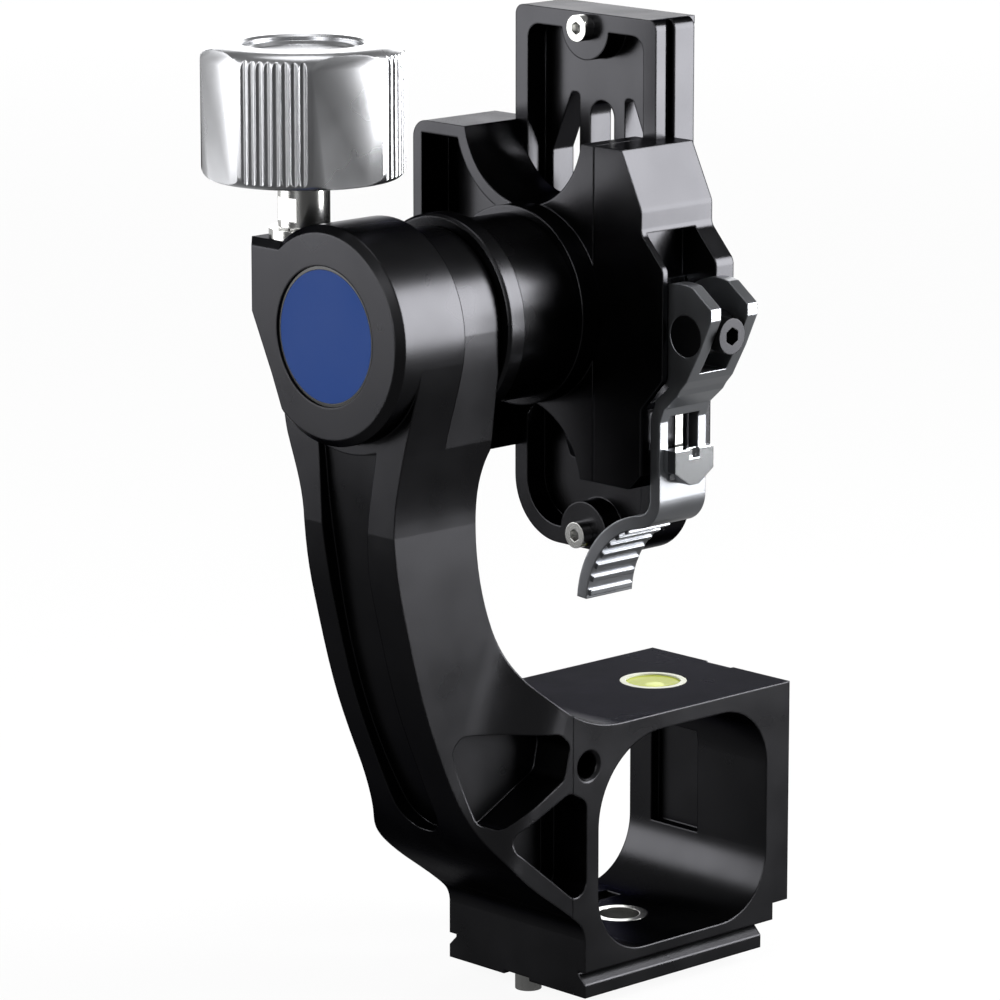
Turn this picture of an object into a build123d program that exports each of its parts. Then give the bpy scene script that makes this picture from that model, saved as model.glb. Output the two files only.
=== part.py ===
from build123d import *
import os
from math import cos, sin, sqrt, radians

os.makedirs("parts", exist_ok=True)

# Gimbal tripod head, millimetres. X runs along the tilt axis towards the clamp, the base's big
# window runs along Y with its front face at -Y, Z is up. The origin is the mouth of the tripod
# thread in the middle of the base's underside.

# ---------------------------------------------------------------- driving dimensions
axis_height = 133.1

dovetail_width = 38.0
dovetail_lip = 2.6
dovetail_undercut = 1.9
dovetail_roof = 5.0

base_length = 56.4
base_height = 53.1
corner_step = 7.6
corner_step_upper = 4.2
corner_step_height = 8.4
window_left = 3.5
window_length = 46.6
window_floor = 7.2
window_roof = 3.2
window_radius = 12.5
window_big_radius = 17.0
wall_recess_depth = 2.2
wall_recess_width = 13.0
wall_recess_height = 21.0
wall_recess_middle = 30.0
floor_groove_depth = 1.2
floor_groove_width = 4.0
floor_groove_y = 11.0
slot_width = 7.1
slot_depth = 0.7

thread_3_8_radius = 4.0
thread_1_4_radius = 2.55
tripod_bush_radius = 5.6
quarter_hole_x = -27.4
quarter_hole_drop = 7.0
quarter_hole_depth = 10.0
quarter_hole_bevel = 0.6
safety_screw_radius = 2.6
safety_screw_drop = 2.7
safety_screw_depth = 6.0
safety_screw_inset = 3.2
safety_screw_socket = 2.5
safety_screw_socket_depth = 2.0
level_radius = 6.6
level_wall = 1.2
level_inset = 19.05
level_depth = 4.6
level_floor = 1.6
level_boss_wall = 1.8
level_cup_floor = 1.0
level_lens_drop = 1.0
level_lens_thickness = 0.7

arm_inner_x = -50.8
arm_outer_x = -71.5
arm_half_width = 12.4
throat_rise = 43.0
throat_centre_x = -18.5
root_inset = 3.35
heel_height = 11.5
heel_radius = 5.0
flare_rise = 10.0
waist_start = 26.5
pocket_radius = 2.4
pocket_depth = 9.0
channel_depth = 2.2
channel_width = 11.5
channel_shift = 1.3
channel_bottom = 34.0

boss_radius = 20.6
boss_front_x = -77.3
boss_back_x = -61.1
boss_bevel = 1.4
neck_radius = 17.4
neck_end_x = -49.2
neck_far_y = 15.2
flank_y = 15.2
far_flank_y = 16.9
flank_join = 0.57
flank_z = -21.0
nose_side = 21.4
nose_height = 16.0
diagonal_y = 15.8
diagonal_z = -9.5
nose_corner_z = 2.0
spindle_x = -69.3
spindle_y = 14.2

badge_radius = 12.4
badge_thickness = 1.5
badge_ring_width = 0.7
badge_recess = 1.9

bearing_outer_radius = 12.0
bearing_inner_radius = 7.5
race_wall = 1.2
bearing_width = 4.5
ball_count = 16

drum_radius = 9.5
drum_length = 8.2
drum_shoulder = 0.35
front_journal_radius = 6.0
axle_thread_radius = 5.0
nut_radius = 8.6
nut_thickness = 3.0
nut_slot_width = 2.0
nut_slot_depth = 1.2
axle_flange_radius = 13.0
axle_flange_thickness = 3.4

plug_radius = 5.5
plug_bottom = 1.2
plug_length = 6.8
spindle_thread_radius = 3.0
stem_radius = 4.9
bush_flange_radius = 6.6
bush_flange_height = 1.9
bush_depth = 6.0
knob_radius = 19.0
knob_gap = 11.2
knob_height = 25.1
knob_core_radius = 4.0
knob_core_top = 6.0
knob_screw_length = 2.0
knob_flat_depth = 1.5
knob_flat_angle = 76.0
flute_depth = 0.8
flute_side = 1.4 * flute_depth
flutes_per_band = 8
flute_step = 4.9
knob_recess_radius = 11.8
knob_recess_depth = 2.4
knob_shoulder = 2.0
knob_cap_thickness = 1.4
knob_cap_rim = 1.4
knob_cap_dish = 1.0
stem_flat_rise = 1.2
stem_flat_height = 4.4
stem_flat_depth = 0.7

hub_disc_radius = 19.6
hub_disc_thickness = 4.4
washer_thickness = 0.4
washer_margin = 0.6
hub_radius = 17.6
seat_x = -29.5
seat_radius = 19.1
hub_screw_circle_radius = 11.5
hub_screw_radius = 2.5
hub_screw_head = 4.6
hub_screw_head_height = 3.6
hub_screw_sink = 0.3
hub_screw_depth = 8.0
hub_screw_socket = 3.0
flange_screw_circle_radius = 10.7
flange_screw_radius = 1.5
flange_screw_head = 2.7
flange_screw_recess = 1.2
flange_screw_depth = 5.0

clamp_back_x = -24.7
bed_x = -10.4
clamp_top = 31.7
clamp_corner = 3.5
clamp_bottom = -32.3
fixed_jaw_side = 32.6
split_y = -16.9
scallop_radius = 16.1
scallop_y = 2.3
scallop_depth = 13.4
clamp_pocket_depth = 7.0
clamp_pocket_rim = 2.4
clamp_pocket_near_y = 9.0
jaw_front_x = -5.9

jaw_flat_y = -29.6
jaw_top_y = -24.3
jaw_ear_y = -35.3
jaw_ear_height = 10.4
jaw_ear_slope = 6.2
jaw_bend_height = 21.0
jaw_bend_radius = 2.2
jaw_chamfer = 3.0
jaw_open_travel = 2.5
jaw_gap = 0.2

lever_width = 12.3
lever_right_x = -10.8
lever_tine = 2.6
lever_thickness = 2.5
pin_y = -39.7
pin_rise = -1.5
pin_radius = 3.9
cam_radius = 10.95
cam_plate_thickness = 1.0
cam_plate_height = 17.0
strip_y = -31.95
strip_bottom = -33.9
tab_bend_radius = 4.75
tab_bend_angle = 80
tab_radius = 18.8
tab_sweep = 76
tab_ribs = 7
rib_height = 0.5
rib_width = 1.1
rib_inset = 0.6
rib_start = 8.0
rib_step = 9.5
lever_window_top = -17.8
lever_window_height = 12.2
lever_window_width = 8.0
button_height = 6.9
button_stem_height = 5.0
button_width = 10.2
button_reach = 3.0
button_cap_rise = 0.9
button_shoulder = 0.62
button_point = 2.4
button_notch = 2.6

tie_bolt_radius = 2.0
tie_head_radius = 3.4
tie_head_length = 3.0
tie_head_seat = 0.9
tie_bolt_end_y = 9.8
tie_socket = 3.0
tie_socket_depth = 2.2
guide_pin_radius = 2.0
guide_pin_rise = 21.0
guide_pin_length = 14.0
spring_wall = 0.5
spring_length = 6.0
spring_room = 1.2
spring_play = 0.2
button_spring_width = 2.0
button_spring_thickness = 0.4

plate_thickness = 10.2
plate_length = 104.2
plate_offset = 1.9
plate_corner = 12.0
plate_top_corner = 2.0
plate_rim = 3.4
plate_pocket_depth = 4.7
plate_lip_height = 1.6
plate_lip_reach = 1.6
plate_lip_inset = 1.5
plate_pocket_corner = 3.0
stop_screw_inset = 2.9
stop_screw_radius = 2.55
stop_screw_drop = 2.4
stop_screw_thread_radius = 1.5
stop_screw_depth = 6.5
stop_screw_socket = 2.2
stop_screw_socket_depth = 1.6
stop_boss_radius = 6.3
slot_half_width = 3.2
side_slot_near = 8.0
side_slot_bend = 24.0
side_slot_tip = 2.2
side_slot_corner = 0.9
slot_half_length = 34.7
side_slot_y = 6.1
side_slot_reach = 13.4
camera_screw_spacing = 28.0
camera_screw_head = 5.4
camera_screw_head_height = 3.2
camera_screw_reach = 5.3
camera_screw_neck = 2.4
camera_screw_radius = 3.1
camera_thread_gap = 0.3
camera_screw_slot = 1.4

run = 0.05
skin = 0.02
loose = 0.3

# ---------------------------------------------------------------- places worked out
half_width = dovetail_width / 2
base_left = -base_length / 2
base_right = base_length / 2
window_left_x = base_left + window_left
window_right_x = window_left_x + window_length
window_height = base_height - window_floor - window_roof
root_x = base_left - root_inset
arm_root = base_height + throat_rise
quarter_hole_z = base_height - quarter_hole_drop
level_x = base_right - level_inset
level_bottom = base_height - level_depth
drum_back_x = spindle_x + plug_radius + drum_shoulder
drum_front_x = drum_back_x - drum_length
shoulder_x = drum_back_x + run
rear_bearing_x = neck_end_x - bearing_width - 2 * run
spacer_length = rear_bearing_x - shoulder_x - bearing_width
ball_radius = (bearing_outer_radius - bearing_inner_radius) / 2 - race_wall - skin
nut_front_x = drum_front_x - nut_thickness
badge_floor_x = boss_front_x + badge_recess
disc_front_x = neck_end_x + washer_thickness
disc_back_x = disc_front_x + hub_disc_thickness
nose_top = axis_height + nose_height
knob_bottom = nose_top + knob_gap
knob_top = knob_bottom + knob_height
clamp_height = clamp_top - clamp_bottom
clamp_middle = (clamp_top + clamp_bottom) / 2
lever_left_x = lever_right_x - lever_width
lever_x = lever_right_x - lever_width / 2
cam_offset = jaw_open_travel / sqrt(2)
cam_face_y = pin_y + cam_radius + cam_offset * cos(radians(45)) + run
slot_floor_y = cam_face_y + cam_plate_thickness + skin
plate_back_x = bed_x + run
plate_front_x = plate_back_x + plate_thickness
plate_top = plate_offset + plate_length / 2
plate_bottom = plate_offset - plate_length / 2
pocket_floor_x = plate_back_x + plate_pocket_depth
stem_bottom = lever_window_top - lever_window_height + run
button_top = stem_bottom + button_stem_height + button_cap_rise
fork_reach = sqrt((pin_radius - tie_head_seat + tie_head_length) ** 2 + tie_head_radius**2) + loose

stand = (Align.CENTER, Align.CENTER, Align.MIN)
# how far a cutting shape reaches past the material
past = 20.0
heel_corner = (base_left, 0, 0)
waist_plane = Plane(origin=heel_corner, x_dir=(-0.92, 0, 0.39), z_dir=(-0.39, 0, -0.92))


def arm_point(along, up):
    """Point of the lower arm's side view: shares of the way out to the arm and up to the throat's top."""
    return (base_left + along * (arm_outer_x - base_left), up * arm_root)


# where the arm's outer face runs, and the outlines of the pockets in its two flanks
back_course = [arm_point(*place) for place in ((0.690, 0.498), (0.825, 0.650), (0.935, 0.829))]
heel_course = [arm_point(*place) for place in ((0.374, 0.275), (0.529, 0.356))]
upper_pocket = [
    arm_point(*place)
    for place in (
        (0.603, 0.577),
        (0.159, 0.559),
        (0.092, 0.533),
        (0.125, 0.465),
        (0.469, 0.384),
        (0.557, 0.399),
        (0.665, 0.553),
    )
]
lower_pocket = [
    arm_point(*place)
    for place in ((0.476, 0.361), (0.097, 0.434), (-0.007, 0.409), (-0.007, 0.231), (0.058, 0.208))
]


def tilt_plane(x):
    """Sketch plane across the tilt axis: local x is the row's Y, local y is height over the axis."""
    return Plane(origin=(x, 0, axis_height), x_dir=(0, 1, 0), z_dir=(1, 0, 0))


def side_plane(y):
    """Sketch plane that faces -Y: local x is the row's X, local y is Z."""
    return Plane(origin=(0, y, 0), x_dir=(1, 0, 0), z_dir=(0, -1, 0))


def save(builder, name):
    builder.part.label = name
    export_step(builder.part, "parts/" + name + ".step")


def ring(x, length, outer, inner):
    """Ring round the tilt axis, from x towards +X."""
    with BuildSketch(tilt_plane(x)) as section:
        Circle(outer)
        Circle(inner, mode=Mode.SUBTRACT)
    extrude(section.sketch, amount=length)


def drum(x, length, radius, mode=Mode.ADD):
    """Cylinder round the tilt axis, from x towards +X."""
    with BuildSketch(tilt_plane(x)) as section:
        Circle(radius)
    extrude(section.sketch, amount=length, mode=mode)


def socket(plane, width, depth):
    """Hexagon socket cut into the face that the plane lies on, against the plane's normal."""
    with BuildSketch(plane) as hexagon:
        RegularPolygon(width / 2, 6, major_radius=False)
    extrude(hexagon.sketch, amount=-depth, mode=Mode.SUBTRACT)


# ---------------------------------------------------------------- arm frame
with BuildPart() as channel:
    with BuildSketch(side_plane(0)):
        with BuildLine():
            channel_bed = Spline(
                (heel_course[0][0] + channel_depth * 0.6, heel_course[0][1] + channel_depth * 0.8),
                (back_course[0][0] + channel_depth * 0.9, back_course[0][1] + channel_depth * 0.5),
                (back_course[2][0] + channel_depth, back_course[2][1] + channel_depth * 0.3),
                (arm_outer_x + channel_depth, axis_height),
            )
            Polyline(
                channel_bed @ 1,
                (arm_outer_x - 8, axis_height),
                (arm_outer_x - 8, 20),
                channel_bed @ 0,
            )
        make_face()
    extrude(amount=half_width, both=True)
    with BuildSketch(tilt_plane(arm_outer_x - 10)) as channel_outline:
        with BuildLine():
            Polyline(
                (channel_shift + channel_width / 2 + 3.0, 0),
                (channel_shift + channel_width / 2 + 1.0, -24),
                (channel_shift + channel_width / 2, -45),
                (channel_shift + channel_width / 2, channel_bottom - axis_height),
                (channel_shift - channel_width / 2, channel_bottom - axis_height),
                (channel_shift - channel_width / 2, -45),
                (channel_shift - channel_width / 2 - 1.0, -34),
                (channel_shift - channel_width / 2 - 7.0, 0),
                close=True,
            )
        make_face()
        fillet(channel_outline.vertices().group_by(Axis.Y)[0], channel_width / 2 - 0.5)
        Circle(boss_radius + channel_depth, mode=Mode.SUBTRACT)
    extrude(amount=60, mode=Mode.INTERSECT)

with BuildPart() as upper_arm:
    # lower part of the upper arm, over its full thickness
    arm_end = arm_root - axis_height
    with BuildSketch(tilt_plane(arm_outer_x)):
        with BuildLine():
            near_flank = Spline(
                (-arm_half_width, arm_end), (-flank_y, flank_z), tangents=((0, 1), (-0.25, 1))
            )
            far_flank = Spline(
                (arm_half_width, arm_end), (far_flank_y, flank_z), tangents=((0.05, 1), (0.35, 1))
            )
            Line(near_flank @ 0, far_flank @ 0)
            Line(near_flank @ 1, far_flank @ 1)
        make_face()
    extrude(amount=neck_end_x - arm_outer_x)
    # above it the arm widens to the boss's rim, and behind the boss only to the neck
    rim_angle = radians(12)
    boss_side = (-boss_radius * cos(rim_angle), -boss_radius * sin(rim_angle))
    neck_side = (neck_far_y, -sqrt(neck_radius**2 - neck_far_y**2))
    nose_join = (
        diagonal_y + flank_join * (nose_side - diagonal_y),
        diagonal_z + flank_join * (nose_corner_z - diagonal_z),
    )
    for near_end, near_ways, far_end, far_ways, front_x, back_x in (
        (
            boss_side,
            ((-0.25, 1), (-sin(rim_angle), cos(rim_angle))),
            nose_join,
            ((0.3, 1), (0.1, 1)),
            arm_outer_x,
            boss_back_x,
        ),
        ((-neck_radius, 0), ((-0.08, 1), (0, 1)), neck_side, ((-0.25, 1), (0.3, 1)), boss_back_x, neck_end_x),
    ):
        with BuildSketch(tilt_plane(front_x)):
            with BuildLine():
                Spline((-flank_y, flank_z), near_end, tangents=near_ways)
                Spline((far_flank_y, flank_z), far_end, tangents=far_ways)
                Polyline(near_end, (0, 0), far_end)
                Line((-flank_y, flank_z), (far_flank_y, flank_z))
            make_face()
        extrude(amount=back_x - front_x)
    # the throat's upper end flows out to the neck's end
    with BuildSketch(side_plane(0)):
        with BuildLine():
            flare = Spline(
                (arm_inner_x, axis_height + arm_end + 4),
                (neck_end_x, axis_height + arm_end + 4 + flare_rise),
                tangents=((0, 1), (0.5, 1)),
            )
            Polyline(
                flare @ 1,
                (neck_end_x + 1, axis_height + arm_end + 4 + flare_rise),
                (neck_end_x + 1, axis_height + arm_end - 1),
                (arm_inner_x, axis_height + arm_end - 1),
                flare @ 0,
            )
        make_face()
    extrude(amount=half_width + 3, both=True, mode=Mode.SUBTRACT)

with BuildPart() as boss:
    # boss with its nose, and the neck behind it
    with BuildSketch(tilt_plane(boss_front_x)):
        Circle(boss_radius)
        with BuildLine():
            Polyline(
                (13.0, -24),
                (13.0, -16.0),
                (diagonal_y, diagonal_z),
                (nose_side, nose_corner_z),
                (nose_side + 6, nose_corner_z),
                (nose_side + 6, -24),
                close=True,
            )
        make_face(mode=Mode.SUBTRACT)
        with BuildLine():
            Polyline(
                (0, 0),
                (diagonal_y, diagonal_z),
                (nose_side, nose_corner_z),
                (nose_side, nose_height),
                (4, nose_height),
                close=True,
            )
        make_face()
    extrude(amount=boss_back_x - boss_front_x)
    front_edges = boss.faces().sort_by(Axis.X)[0].edges()
    chamfer(front_edges, boss_bevel)
    drum(boss_back_x, neck_end_x - boss_back_x, neck_radius)

with BuildPart() as whole_arm:
    # lower arm and base: side outline at full width
    with BuildSketch(side_plane(half_width)):
        with BuildLine():
            throat = EllipticalCenterArc(
                (throat_centre_x, arm_root),
                throat_centre_x - arm_inner_x,
                throat_rise,
                start_angle=180,
                arc_size=90,
            )
            box_side = Polyline(
                (throat_centre_x, base_height),
                (base_right, base_height),
                (base_right, 0),
                (base_left, 0),
                (base_left, heel_height),
            )
            heel = JernArc((base_left, heel_height), (0, 1), heel_radius, 48)
            back = Spline(
                heel @ 1,
                *heel_course,
                *back_course,
                (arm_outer_x, arm_root),
                tangents=(heel % 1, (-0.08, 1)),
            )
            Line(back @ 1, (arm_inner_x, arm_root))
        make_face()
    extrude(amount=dovetail_width)
    # waist: each flank is cut back beyond a line that runs up from the heel
    for side in (-1, 1):
        with BuildSketch(waist_plane):
            with BuildLine():
                shoulder = Spline(
                    (waist_start, side * half_width),
                    (waist_start + 8.5, side * (half_width - 3.4)),
                    (waist_start + 20, side * arm_half_width),
                    tangents=((1, 0), (1, 0)),
                )
                Polyline(
                    (waist_start + 20, side * arm_half_width),
                    (waist_start + 90, side * arm_half_width),
                    (waist_start + 90, side * (half_width + 2)),
                    (waist_start, side * (half_width + 2)),
                    (waist_start, side * half_width),
                )
            make_face()
        extrude(amount=150, both=True, mode=Mode.SUBTRACT)
    add(upper_arm.part)
    add(boss.part)
    # grooves behind the lips of the rail under the base and of the rail on its end face
    for side in (-1, 1):
        edge = side * (half_width + 1)
        flank = side * half_width
        apex = side * (half_width - dovetail_undercut)
        for plane, length in (
            (Plane(origin=(base_left - 1, 0, 0), x_dir=(0, 1, 0), z_dir=(1, 0, 0)), base_length + 2),
            (
                Plane(origin=(base_right, 0, base_height + 1), x_dir=(0, 1, 0), z_dir=(0, 0, -1)),
                base_height + 2,
            ),
        ):
            with BuildSketch(plane):
                with BuildLine():
                    Polyline(
                        (edge, dovetail_lip),
                        (flank, dovetail_lip),
                        (apex, dovetail_lip + dovetail_undercut),
                        (apex, dovetail_roof),
                        (edge, dovetail_roof),
                        close=True,
                    )
                make_face()
            extrude(amount=length, mode=Mode.SUBTRACT)
    # the two rails stop short of each other at the bottom corner
    for step, height in (
        (corner_step, dovetail_lip + dovetail_undercut),
        (corner_step_upper, corner_step_height),
    ):
        with Locations((base_right, 0, 0)):
            Box(2 * step, dovetail_width + 2, 2 * height, mode=Mode.SUBTRACT)
    # window through the base
    with BuildSketch(side_plane(half_width + 1)) as window:
        with Locations((window_left_x + window_length / 2, window_floor + window_height / 2)):
            Rectangle(window_length, window_height)
        fillet(window.vertices().group_by(Axis.X)[0].sort_by(Axis.Y)[-1], window_big_radius)
        fillet(window.vertices().group_by(Axis.X)[-1], window_radius)
        fillet(window.vertices().group_by(Axis.X)[0].sort_by(Axis.Y)[0], window_radius)
    extrude(amount=dovetail_width + 2, mode=Mode.SUBTRACT)
    # lightening pockets in both faces
    for side in (-1, 1):
        for outline in (upper_pocket, lower_pocket):
            with BuildSketch(side_plane(side * half_width)) as pocket:
                with BuildLine():
                    Polyline(*outline, close=True)
                make_face()
                fillet(pocket.vertices(), pocket_radius)
            extrude(amount=side * pocket_depth, mode=Mode.SUBTRACT)
    # recess in the end wall and groove in the window's floor
    with Locations((window_right_x, wall_recess_width / 2, wall_recess_middle)):
        Box(2 * wall_recess_depth, wall_recess_width, wall_recess_height, mode=Mode.SUBTRACT)
    with Locations((window_left_x + window_length / 2, floor_groove_y, window_floor)):
        Box(window_length - 2 * window_radius, floor_groove_width, 2 * floor_groove_depth, mode=Mode.SUBTRACT)
    # round boss that carries the level, and the level's seat
    with Locations((level_x, 0, level_bottom - level_floor)):
        Cylinder(level_radius + level_boss_wall, level_floor + level_depth - level_lens_drop, align=stand)
    with Locations((level_x, 0, level_bottom)):
        Cylinder(level_radius + skin, level_depth + 1, align=stand, mode=Mode.SUBTRACT)
    # seat of the tripod bush, shallow slots along both rails, safety screw holes
    with Locations((0, 0, -1)):
        Cylinder(tripod_bush_radius + skin, window_floor + 2, align=stand, mode=Mode.SUBTRACT)
    with Locations((0, 0, 0)):
        Box(base_length + 2, slot_width, 2 * slot_depth, mode=Mode.SUBTRACT)
    with Locations((base_right, 0, base_height / 2)):
        Box(2 * slot_depth, slot_width, base_height + 2, mode=Mode.SUBTRACT)
    for x in (base_left + safety_screw_inset, base_right - corner_step - safety_screw_inset):
        with Locations((x, 0, -1)):
            Cylinder(safety_screw_radius + skin, safety_screw_depth + 1, align=stand, mode=Mode.SUBTRACT)
    # quarter inch accessory holes in both faces
    for side in (-1, 1):
        with BuildSketch(side_plane(side * half_width)):
            with Locations((quarter_hole_x, quarter_hole_z)):
                Circle(thread_1_4_radius)
        extrude(amount=side * quarter_hole_depth, mode=Mode.SUBTRACT)
        with BuildSketch(side_plane(side * half_width)):
            with Locations((quarter_hole_x, quarter_hole_z)):
                Circle(thread_1_4_radius + quarter_hole_bevel)
        extrude(amount=side * quarter_hole_bevel, taper=45, mode=Mode.SUBTRACT)
    # long recess in the arm's outer face
    add(channel.part, mode=Mode.SUBTRACT)
    # boss: seat of the badge, drum room and bearing seat
    drum(boss_front_x - 1, badge_recess + 1, badge_radius + badge_ring_width + skin, Mode.SUBTRACT)
    drum(badge_floor_x, shoulder_x - badge_floor_x, drum_radius + loose, Mode.SUBTRACT)
    drum(shoulder_x, neck_end_x - shoulder_x + 1, bearing_outer_radius + skin, Mode.SUBTRACT)
    # nose: bore of the lock plug and of the spindle bush
    with Locations((spindle_x, spindle_y, axis_height + plug_bottom - loose)):
        Cylinder(plug_radius + run, nose_height, align=stand, mode=Mode.SUBTRACT)
    with Locations((spindle_x, spindle_y, nose_top)):
        Cylinder(bush_flange_radius + loose, 2 * boss_radius, align=stand, mode=Mode.SUBTRACT)

# the casting is stored as its base and its arm, which meet in one flat face beside the accessory holes
root_plane = Plane(origin=(root_x, 0, 0), x_dir=(0, 1, 0), z_dir=(1, 0, 0))
for name, side in (("base_block", Keep.TOP), ("arm_frame", Keep.BOTTOM)):
    with BuildPart() as arm_piece:
        add(whole_arm.part)
        split(bisect_by=root_plane, keep=side)
        save(arm_piece, name)

# ---------------------------------------------------------------- small pieces of the base
with BuildPart() as level_cup:
    with Locations((level_x, 0, level_bottom)):
        Cylinder(level_radius, level_depth, align=stand)
    with Locations((level_x, 0, level_bottom + level_cup_floor)):
        Cylinder(level_radius - level_wall, level_depth, align=stand, mode=Mode.SUBTRACT)
    save(level_cup, "level_cup")

with BuildPart() as level_vial:
    with Locations((level_x, 0, level_bottom + level_cup_floor)):
        vial_height = level_depth - level_cup_floor - level_lens_drop
        Cylinder(level_radius - level_wall - skin, vial_height, align=stand)
    save(level_vial, "level_vial")

with BuildPart() as level_lens:
    with Locations((level_x, 0, base_height - level_lens_drop)):
        Cylinder(level_radius - level_wall - skin, level_lens_thickness, align=stand)
    save(level_lens, "level_lens")

with BuildPart() as tripod_bush:
    Cylinder(tripod_bush_radius, window_floor, align=stand)
    Cylinder(thread_3_8_radius, window_floor * 3, mode=Mode.SUBTRACT)
    save(tripod_bush, "tripod_bush")

with BuildPart() as safety_screws:
    for x in (base_left + safety_screw_inset, base_right - corner_step - safety_screw_inset):
        with Locations((x, 0, -safety_screw_drop)):
            Cylinder(safety_screw_radius, safety_screw_depth + safety_screw_drop, align=stand)
        with BuildSketch(Plane(origin=(x, 0, -safety_screw_drop), z_dir=(0, 0, -1))):
            RegularPolygon(safety_screw_socket / 2, 6, major_radius=False)
        extrude(amount=-safety_screw_socket_depth, mode=Mode.SUBTRACT)
    save(safety_screws, "safety_screws")

with BuildPart() as badge_disc:
    drum(badge_floor_x - badge_thickness, badge_thickness, badge_radius)
    save(badge_disc, "badge_disc")

with BuildPart() as badge_ring:
    ring(
        badge_floor_x - badge_thickness,
        badge_thickness,
        badge_radius + badge_ring_width,
        badge_radius + skin,
    )
    save(badge_ring, "badge_ring")

# ---------------------------------------------------------------- bearings in the boss
with BuildPart() as bearing_outer_races:
    for x in (shoulder_x, rear_bearing_x):
        ring(x, bearing_width, bearing_outer_radius, bearing_outer_radius - race_wall)
    save(bearing_outer_races, "bearing_outer_races")

with BuildPart() as bearing_balls:
    ball_circle = (bearing_outer_radius + bearing_inner_radius) / 2
    for x in (shoulder_x, rear_bearing_x):
        with Locations(tilt_plane(x + bearing_width / 2)):
            with PolarLocations(ball_circle, ball_count):
                Sphere(ball_radius)
    save(bearing_balls, "bearing_balls")

with BuildPart() as bearing_inner_races:
    for x in (shoulder_x, rear_bearing_x):
        ring(x, bearing_width, bearing_inner_radius + race_wall, bearing_inner_radius + skin)
    save(bearing_inner_races, "bearing_inner_races")

with BuildPart() as outer_spacer:
    ring(shoulder_x + bearing_width, spacer_length, bearing_outer_radius, bearing_outer_radius - race_wall)
    save(outer_spacer, "outer_spacer")

with BuildPart() as inner_spacer:
    ring(
        shoulder_x + bearing_width,
        spacer_length,
        bearing_inner_radius + race_wall,
        bearing_inner_radius + skin,
    )
    save(inner_spacer, "inner_spacer")

# ---------------------------------------------------------------- axle lock and knob
with BuildPart() as spindle_bush:
    with Locations((spindle_x, spindle_y, nose_top - bush_depth)):
        Cylinder(plug_radius, bush_depth, align=stand)
    with Locations((spindle_x, spindle_y, nose_top)):
        Cylinder(bush_flange_radius, bush_flange_height, align=stand)
    with Locations((spindle_x, spindle_y, nose_top - bush_depth - 1)):
        bore_length = bush_depth + bush_flange_height + 2
        Cylinder(spindle_thread_radius + run, bore_length, align=stand, mode=Mode.SUBTRACT)
    save(spindle_bush, "spindle_bush")

plug_top_z = axis_height + plug_bottom + plug_length
with BuildPart() as lock_plug:
    with Locations((spindle_x, spindle_y, axis_height + plug_bottom)):
        Cylinder(plug_radius, plug_length, align=stand)
    drum(drum_front_x - 2, drum_length + 4, drum_radius + run, Mode.SUBTRACT)
    save(lock_plug, "lock_plug")

with BuildPart() as knob_spindle:
    stem_foot = nose_top + bush_flange_height + loose
    with Locations((spindle_x, spindle_y, plug_top_z + skin)):
        Cylinder(spindle_thread_radius, knob_bottom - plug_top_z, align=stand)
    with Locations((spindle_x, spindle_y, stem_foot)):
        Cylinder(stem_radius, knob_bottom - stem_foot, align=stand)
    with Locations((spindle_x, spindle_y, knob_bottom)):
        Cylinder(knob_core_radius, knob_height - knob_recess_depth - knob_core_top, align=stand)
    # wrench flats on the stem
    for side in (-1, 1):
        with Locations((spindle_x + side * stem_radius, spindle_y, stem_foot + stem_flat_rise)):
            Box(2 * stem_flat_depth, 2 * stem_radius, stem_flat_height, align=stand, mode=Mode.SUBTRACT)
    save(knob_spindle, "knob_spindle")

with BuildPart() as lock_knob:
    with BuildSketch(Plane.XY.offset(knob_bottom)) as knob_outline:
        with Locations((spindle_x, spindle_y)):
            Circle(knob_radius)
            for quarter in range(4):
                flat_angle = knob_flat_angle + 90 * quarter
                # one smooth flat and one fluted band in each quarter
                with PolarLocations(knob_radius + past / 2 - knob_flat_depth, 1, start_angle=flat_angle):
                    Rectangle(past, 2 * knob_radius, mode=Mode.SUBTRACT)
                flute_start = flat_angle + 45 - flute_step * (flutes_per_band - 1) / 2
                with PolarLocations(
                    knob_radius,
                    flutes_per_band,
                    start_angle=flute_start,
                    angular_range=flute_step * flutes_per_band,
                ):
                    Rectangle(flute_side, flute_side, rotation=45, mode=Mode.SUBTRACT)
    extrude(amount=knob_height)
    # rounded shoulders at both ends
    with BuildSketch(Plane(origin=(spindle_x, spindle_y, 0), x_dir=(1, 0, 0), z_dir=(0, -1, 0))):
        with BuildLine():
            Polyline(
                (0, knob_bottom),
                (knob_radius - 1.4 * knob_shoulder, knob_bottom),
                (knob_radius - 0.3 * knob_shoulder, knob_bottom + 0.5 * knob_shoulder),
                (knob_radius, knob_bottom + 1.6 * knob_shoulder),
                (knob_radius, knob_top - 1.6 * knob_shoulder),
                (knob_radius - 0.3 * knob_shoulder, knob_top - 0.5 * knob_shoulder),
                (knob_radius - 1.4 * knob_shoulder, knob_top),
                (0, knob_top),
                close=True,
            )
        make_face()
    revolve(axis=Axis((spindle_x, spindle_y, 0), (0, 0, 1)), mode=Mode.INTERSECT)
    with Locations((spindle_x, spindle_y, knob_top - knob_recess_depth)):
        Cylinder(knob_recess_radius, knob_recess_depth + 1, align=stand, mode=Mode.SUBTRACT)
    with Locations((spindle_x, spindle_y, knob_bottom - 1)):
        Cylinder(knob_core_radius + skin, knob_height, align=stand, mode=Mode.SUBTRACT)
    save(lock_knob, "lock_knob")

with BuildPart() as knob_screw:
    screw_bottom = knob_top - knob_recess_depth - knob_core_top + skin
    with Locations((spindle_x, spindle_y, screw_bottom)):
        Cylinder(knob_core_radius - skin, knob_screw_length, align=stand)
    save(knob_screw, "knob_screw")

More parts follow.
